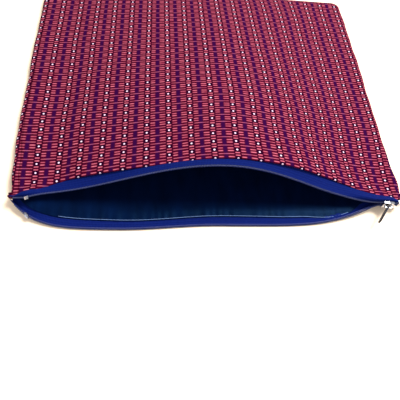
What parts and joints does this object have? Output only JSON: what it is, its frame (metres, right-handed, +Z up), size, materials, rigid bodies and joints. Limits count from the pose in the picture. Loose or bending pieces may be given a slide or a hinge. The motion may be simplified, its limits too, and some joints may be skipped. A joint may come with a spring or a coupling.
{
  "type": "laptop sleeve",
  "caption": "Padded woven-fabric sleeve for a 13-inch laptop, lying flat with its long coil zip open, its slider at one end of the mouth.",
  "frame": {"origin": "centre of the flat underside, on the surface the sleeve rests on", "axes": "+X along the zip mouth towards the slider's open position, +Y from the mouth to the closed back edge, +Z up"},
  "size_m": [0.3496, 0.3148, 0.0514],
  "materials": {
    "woven_fabric": "matte cotton weave, maroon ground with coral, navy and white figures",
    "foam": "matte polyurethane foam",
    "lining": "satin, dark navy",
    "zip_tape": "matte woven polyester, royal navy",
    "zip_coil": "semi-gloss nylon, royal navy",
    "cord": "twisted polyester",
    "thread": "polyester sewing thread",
    "stop_metal": "bright nickel plate",
    "slider_metal": "bright nickel plate",
    "pull_metal": "black nickel, satin"
  },
  "bodies": {
    "sleeve": {"top_outer_panel": "woven_fabric", "bottom_outer_panel": "woven_fabric", "top_padding": "foam", "bottom_padding": "foam", "top_lining": "lining", "bottom_lining": "lining", "upper_tape": "zip_tape", "lower_tape": "zip_tape", "upper_coil": "zip_coil", "lower_coil": "zip_coil", "upper_coil_cord": "cord", "lower_coil_cord": "cord", "upper_coil_stitching": "thread", "lower_coil_stitching": "thread", "upper_mouth_stitching": "thread", "lower_mouth_stitching": "thread", "outer_seam_thread": "thread", "lining_seam_thread": "thread", "upper_top_stop": "stop_metal", "lower_top_stop": "stop_metal", "bottom_stop": "stop_metal"},
    "slider": {"slider_body": "slider_metal", "slider_bail": "slider_metal"},
    "pull": {"pull_tab": "pull_metal"}
  },
  "joints": [
    {"name": "zip_slide", "type": "slide", "parent": "sleeve", "child": "slider", "axis": [-1, 0, 0], "range_m": [0, 0.296], "deforming": ["upper_tape", "lower_tape", "upper_coil", "lower_coil", "upper_coil_cord", "lower_coil_cord", "upper_coil_stitching", "lower_coil_stitching"]},
    {"name": "pull_hinge", "type": "hinge", "parent": "slider", "child": "pull", "pos_m": [0.151, -0.15595, 0.01], "axis": [0, 0, 1], "range_deg": [-42, 126]}
  ]
}
